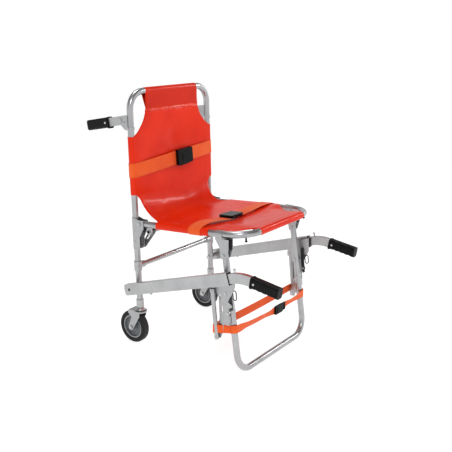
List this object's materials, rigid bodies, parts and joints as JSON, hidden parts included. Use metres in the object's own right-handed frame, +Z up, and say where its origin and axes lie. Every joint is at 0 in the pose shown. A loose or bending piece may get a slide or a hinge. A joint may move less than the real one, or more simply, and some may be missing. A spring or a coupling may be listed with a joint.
{
  "type": "stair chair",
  "caption": "Folding emergency stair chair: bent tube frame on rear casters, sling seat and back with straps, carry rails with telescoping front handles, fold-down rear handles.",
  "frame": {"origin": "on the floor, at the middle of the chair's length and width", "axes": "+Z up; -Y is the way the seated person faces; +X is the seated person's left"},
  "size_m": [0.53, 0.8266, 0.9097],
  "materials": {
    "bare_tube": "bright drawn tube, lightly scuffed",
    "rail_aluminium": "satin extruded tube",
    "bracket_sheet": "pressed sheet, dull zinc",
    "cast_fitting": "cast, lightly tumbled",
    "zinc_steel": "bright zinc plated pressing",
    "dark_steel": "black oxide",
    "fastener_steel": "zinc plated",
    "sling_vinyl": "glossy coated fabric, red orange",
    "webbing": "woven polyester webbing, orange",
    "grip_rubber": "moulded, fine texture",
    "tyre_rubber": "dark grey solid rubber",
    "hub_plastic": "grey moulded",
    "black_plastic": "moulded nylon"
  },
  "bodies": {
    "back": {"back_frame": "bare_tube", "rear_crossbar": "bare_tube", "crossbar_tees": "cast_fitting", "hinge_brackets": "bracket_sheet", "seat_hinge_bolts": "fastener_steel", "bracket_rivets": "fastener_steel", "stem_collars": "cast_fitting", "caster_stems": "zinc_steel", "rear_handle_brackets": "bracket_sheet", "rear_handle_bolts": "fastener_steel", "rail_pivot_bolts": "fastener_steel", "rail_pivot_spacers": "fastener_steel", "lock_pins": "dark_steel", "back_sling": "sling_vinyl", "chest_strap": "webbing", "chest_buckle": "black_plastic", "chest_tongue": "black_plastic"},
    "chest_release": {"chest_button": "black_plastic"},
    "seat": {"seat_frame": "bare_tube", "seat_sling": "sling_vinyl", "sling_bend": "sling_vinyl", "lap_strap": "webbing", "lap_buckle": "black_plastic", "lap_tongue": "black_plastic", "leg_brackets": "bracket_sheet", "leg_hinge_bolts": "fastener_steel"},
    "seat_lock": {"lock_bar": "bare_tube", "lock_links": "dark_steel"},
    "leg": {"front_leg": "bare_tube", "leg_channel_right": "bracket_sheet", "leg_channel_left": "bracket_sheet", "leg_struts": "bare_tube", "leg_bolts": "fastener_steel", "leg_plugs": "black_plastic", "ankle_strap": "webbing", "ankle_buckle": "black_plastic"},
    "caster_right": {"caster_fork_right": "zinc_steel", "caster_axle_right": "fastener_steel"},
    "wheel_right": {"wheel_hub_right": "hub_plastic", "tyre_right": "tyre_rubber"},
    "rear_handle_right": {"rear_handle_arm_right": "rail_aluminium", "rear_grip_right": "grip_rubber"},
    "latch_right": {"rail_latch_right": "dark_steel"},
    "rail_right": {"carry_rail_right": "rail_aluminium", "rail_bush_right": "black_plastic"},
    "front_handle_right": {"front_handle_bar_right": "rail_aluminium", "front_grip_right": "grip_rubber"},
    "knob_right": {"lock_knob_right": "fastener_steel"},
    "caster_left": {"caster_fork_left": "zinc_steel", "caster_axle_left": "fastener_steel"},
    "wheel_left": {"wheel_hub_left": "hub_plastic", "tyre_left": "tyre_rubber"},
    "rear_handle_left": {"rear_handle_arm_left": "rail_aluminium", "rear_grip_left": "grip_rubber"},
    "latch_left": {"rail_latch_left": "dark_steel"},
    "rail_left": {"carry_rail_left": "rail_aluminium", "rail_bush_left": "black_plastic"},
    "front_handle_left": {"front_handle_bar_left": "rail_aluminium", "front_grip_left": "grip_rubber"},
    "knob_left": {"lock_knob_left": "fastener_steel"}
  },
  "joints": [
    {"name": "seat_fold", "type": "hinge", "parent": "back", "child": "seat", "pos_m": [0, 0.1815, 0.452], "axis": [-1, 0, 0], "range_deg": [0, 75], "deforming": ["sling_bend"]},
    {"name": "front_leg_fold", "type": "hinge", "parent": "seat", "child": "leg", "pos_m": [0, -0.17824, 0.408], "axis": [-1, 0, 0], "range_deg": [-83, 0]},
    {"name": "seat_lock_release", "type": "hinge", "parent": "seat", "child": "seat_lock", "pos_m": [0, 0.1455, 0.429], "axis": [-1, 0, 0], "range_deg": [0, 35], "stiffness_Nm_per_rad": 0.6, "springref_deg": -11.46},
    {"name": "chest_button_press", "type": "slide", "parent": "back", "child": "chest_release", "axis": [0, 0.9997, -0.024], "range_m": [0, 0.0012], "stiffness_N_per_m": 400, "springref_m": -0.001},
    {"name": "caster_swivel_right", "type": "hinge", "parent": "back", "child": "caster_right", "pos_m": [-0.208, 0.2001, 0.12], "axis": [0, 0, 1], "continuous": true},
    {"name": "wheel_spin_right", "type": "hinge", "parent": "caster_right", "child": "wheel_right", "pos_m": [-0.208, 0.2311, 0.06], "axis": [1, 0, 0], "continuous": true},
    {"name": "rear_handle_fold_right", "type": "hinge", "parent": "back", "child": "rear_handle_right", "pos_m": [-0.208, 0.25078, 0.80293], "axis": [-1, 0, 0], "range_deg": [0, 78]},
    {"name": "rail_fold_right", "type": "hinge", "parent": "back", "child": "rail_right", "pos_m": [-0.25, 0.20179, 0.22034], "axis": [-1, 0, 0], "range_deg": [0, 70.5]},
    {"name": "front_handle_slide_right", "type": "slide", "parent": "rail_right", "child": "front_handle_right", "axis": [0, -0.9566, 0.2914], "range_m": [0, 0.2]},
    {"name": "lock_knob_press_right", "type": "slide", "parent": "front_handle_right", "child": "knob_right", "axis": [0, -0.2914, -0.9566], "range_m": [0, 0.004], "stiffness_N_per_m": 300, "springref_m": -0.002},
    {"name": "rail_latch_right", "type": "hinge", "parent": "leg", "child": "latch_right", "pos_m": [-0.227, -0.2155, 0.25], "axis": [1, 0, 0], "range_deg": [0, 15], "stiffness_Nm_per_rad": 0.4, "springref_deg": -8.59},
    {"name": "caster_swivel_left", "type": "hinge", "parent": "back", "child": "caster_left", "pos_m": [0.208, 0.2001, 0.12], "axis": [0, 0, 1], "continuous": true},
    {"name": "wheel_spin_left", "type": "hinge", "parent": "caster_left", "child": "wheel_left", "pos_m": [0.208, 0.2311, 0.06], "axis": [1, 0, 0], "continuous": true},
    {"name": "rear_handle_fold_left", "type": "hinge", "parent": "back", "child": "rear_handle_left", "pos_m": [0.208, 0.25078, 0.80293], "axis": [-1, 0, 0], "range_deg": [0, 78]},
    {"name": "rail_fold_left", "type": "hinge", "parent": "back", "child": "rail_left", "pos_m": [0.25, 0.20179, 0.22034], "axis": [-1, 0, 0], "range_deg": [0, 70.5]},
    {"name": "front_handle_slide_left", "type": "slide", "parent": "rail_left", "child": "front_handle_left", "axis": [0, -0.9566, 0.2914], "range_m": [0, 0.2]},
    {"name": "lock_knob_press_left", "type": "slide", "parent": "front_handle_left", "child": "knob_left", "axis": [0, -0.2914, -0.9566], "range_m": [0, 0.004], "stiffness_N_per_m": 300, "springref_m": -0.002},
    {"name": "rail_latch_left", "type": "hinge", "parent": "leg", "child": "latch_left", "pos_m": [0.227, -0.2155, 0.25], "axis": [1, 0, 0], "range_deg": [0, 15], "stiffness_Nm_per_rad": 0.4, "springref_deg": -8.59}
  ],
  "couplings": [
    {"joint": "front_leg_fold", "follows": "seat_fold", "ratio": -1.1},
    {"joint": "rail_fold_right", "follows": "seat_fold", "ratio": 0.933},
    {"joint": "rail_fold_left", "follows": "seat_fold", "ratio": 0.933}
  ]
}
